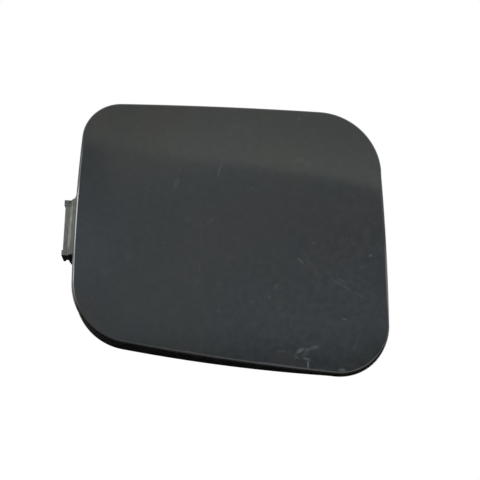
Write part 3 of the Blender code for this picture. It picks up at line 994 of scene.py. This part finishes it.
wall_glow, wall_axes = glow("front_wall_glow")
sideways = wall_axes.outputs["X"]
upward = wall_axes.outputs["Z"]
slant = figure(wall_glow, "MINIMUM", sideways, WALL_EDGE_ENDS)
height = figure(wall_glow, "ADD", upward, figure(wall_glow, "MULTIPLY", slant, WALL_EDGE_SLOPE))
below = ramp(wall_glow, upward, WALL_BELOW)
at_right = between(wall_glow, sideways, *RIGHT_FROM_TO)
below = blended(wall_glow, at_right, below, ramp(wall_glow, upward, WALL_RIGHT))
far_right = between(wall_glow, sideways, *CORNER_OUT)
low_right = figure(wall_glow, "MULTIPLY", far_right, between(wall_glow, upward, *CORNER_UP, 1, 0))
below = dimmed(wall_glow, below, between(wall_glow, low_right, 0, 1, 1, CORNER_DIM))
at_left = between(wall_glow, sideways, *LEFT_FROM_TO, 1, 0)
below = blended(wall_glow, at_left, below, ramp(wall_glow, upward, WALL_LEFT))
above = ramp(wall_glow, height, WALL_ABOVE)
above = dimmed(wall_glow, above, between(wall_glow, sideways, *ABOVE_FROM_TO, ABOVE_DIM, 1.0))
past_edge = between(wall_glow, height, *WALL_EDGE)
light_up(wall_glow, blended(wall_glow, past_edge, below, above), 1.0)
card("front_wall_card", (0, WALL_Y, WALL_SIZE[1] / 2), WALL_SIZE, QUARTER_TURN, wall_glow)

# A dark sheet under the cover, and a low dark card behind and to the left, which keep its lower edge and
# the low left of its skirt wall black. They are painted shade: dark cards that stand where the cover's own
# shade falls and are seen in its gloss. The sheet also keeps the floor's light off the cover's underside.
SHEET_PLACE = (-0.1, 0.373, -0.10)
SHEET_SIZE = (1.2, 0.85)
BACK_PLACE = (-0.35, 0.4, -0.05)
BACK_SIZE = (0.5, 0.1)
DARK_COLOUR = (0.005, 0.005, 0.005, 1)
dark = bpy.data.materials.new("dark_sheet")
dark.use_nodes = True
dark_shader = dark.node_tree.nodes["Principled BSDF"]
dark_shader.inputs["Base Color"].default_value = DARK_COLOUR
dark_shader.inputs["Specular IOR Level"].default_value = 0
dark_sheet = card("dark_sheet_card", SHEET_PLACE, SHEET_SIZE, 0, dark)
dark_sheet.visible_diffuse = True
card("dark_back_card", BACK_PLACE, BACK_SIZE, QUARTER_TURN, dark)

# A glow low in front and to the right, which the rounded lower edge mirrors as a thin line
LOW_PLACE = (0.2, -0.55, -0.18)
LOW_SIZE = (1.0, 0.32)
LOW_FROM_TO = (-0.2, 0.3)
LOW_STRENGTHS = (0.4, 1.7)
low_glow, low_axes = glow("low_glow")
light_up(low_glow, WHITE, between(low_glow, low_axes.outputs["X"], *LOW_FROM_TO, *LOW_STRENGTHS))
card("low_glow_card", LOW_PLACE, LOW_SIZE, QUARTER_TURN, low_glow)

# The soft lamp, above the camera and to its left
KEY_PLACE = (-0.45, -0.85, 0.75)
KEY_SIZE = 0.6
KEY_ENERGY = 9
bpy.ops.object.light_add(type="AREA", location=KEY_PLACE)
key = bpy.context.object
key.name = "soft_key"
key.data.size = KEY_SIZE
key.data.energy = KEY_ENERGY
aim(key, Vector((0, 0, 0)))
key.visible_glossy = False

# A curved band of light at each side. The rounded left edge mirrors one, which is brightest near its
# top, and the rounded right edge mirrors the other, short and faint, below its middle. The strengths
# go by the height above the band's foot, and the spans are in degrees to the right of the front.
BAND_RADIUS = 0.6
BAND_SIDES = 96
LEFT_SPAN = (-82, -41)
LEFT_LOW = -0.15
LEFT_HIGH = 0.30
LEFT_FULL = 18
LEFT_STRENGTHS = (
    (0.0, 0.03),
    (0.033, 0.07),
    (0.098, 0.10),
    (0.20, 0.26),
    (0.245, 0.34),
    (0.275, 0.55),
    (0.29, 0.42),
    (0.311, 0.43),
    (0.321, 0.58),
    (0.337, 0.64),
    (0.354, 0.70),
    (0.368, 0.66),
    (0.384, 0.84),
    (0.391, 0.6),
    (0.396, 0.2),
    (0.45, 0.18),
)
RIGHT_SPAN = (50, 115)
RIGHT_LOW = 0.09
RIGHT_HIGH = 0.19
RIGHT_FULL = 2.4
RIGHT_STRENGTHS = ((0.008, 0.1), (0.018, 1.0), (0.062, 1.0), (0.078, 0.6), (0.09, 0.2))


def light_band(side, span, low, high, full, strengths):
    """A curved band of light round one side of the cover, from low to high, as strong as full at most."""
    bpy.ops.mesh.primitive_cylinder_add(
        vertices=BAND_SIDES,
        radius=BAND_RADIUS,
        depth=high - low,
        end_fill_type="NOTHING",
        location=(0, 0, (high + low) / 2),
    )
    band = bpy.context.object
    band.name = f"{side}_light_band"
    bpy.ops.object.mode_set(mode="EDIT")
    bpy.ops.mesh.select_mode(type="FACE")
    bpy.ops.mesh.select_all(action="DESELECT")
    bpy.ops.object.mode_set(mode="OBJECT")
    for face in band.data.polygons:
        azimuth = math.degrees(math.atan2(face.center.x, -face.center.y))
        face.select = not span[0] < azimuth < span[1]
    bpy.ops.object.mode_set(mode="EDIT")
    bpy.ops.mesh.delete(type="FACE")
    bpy.ops.object.mode_set(mode="OBJECT")
    shine, axes = glow(f"{side}_band_glow")
    above_foot = figure(shine, "ADD", axes.outputs["Z"], (high - low) / 2)
    greys = [(up, (grey, grey, grey, 1)) for up, grey in strengths]
    light_up(shine, ramp(shine, above_foot, greys), full)
    band.data.materials.append(shine)
    only_mirrored(band)


light_band("left", LEFT_SPAN, LEFT_LOW, LEFT_HIGH, LEFT_FULL, LEFT_STRENGTHS)
light_band("right", RIGHT_SPAN, RIGHT_LOW, RIGHT_HIGH, RIGHT_FULL, RIGHT_STRENGTHS)

# The surround lights the cover softly, and is plain white to the eye and in gloss
SURROUND_STRENGTH = 0.6
world = bpy.data.worlds.new("white_surround")
world.use_nodes = True
bpy.context.scene.world = world
lit = world.node_tree.nodes["Background"]
lit.inputs["Color"].default_value = WHITE
lit.inputs["Strength"].default_value = SURROUND_STRENGTH
seen = new_node(world, "ShaderNodeBackground", (("Color", WHITE), ("Strength", 1.0)))
path = new_node(world, "ShaderNodeLightPath")
shown = figure(world, "MAXIMUM", path.outputs["Is Camera Ray"], path.outputs["Is Glossy Ray"])
shown = figure(world, "MAXIMUM", shown, path.outputs["Is Transmission Ray"])
either = new_node(world, "ShaderNodeMixShader", ((0, shown), (1, lit.outputs[0]), (2, seen.outputs[0])))
link(world, either.outputs[0], world.node_tree.nodes["World Output"], "Surface")

bpy.context.scene.view_settings.view_transform = "Standard"
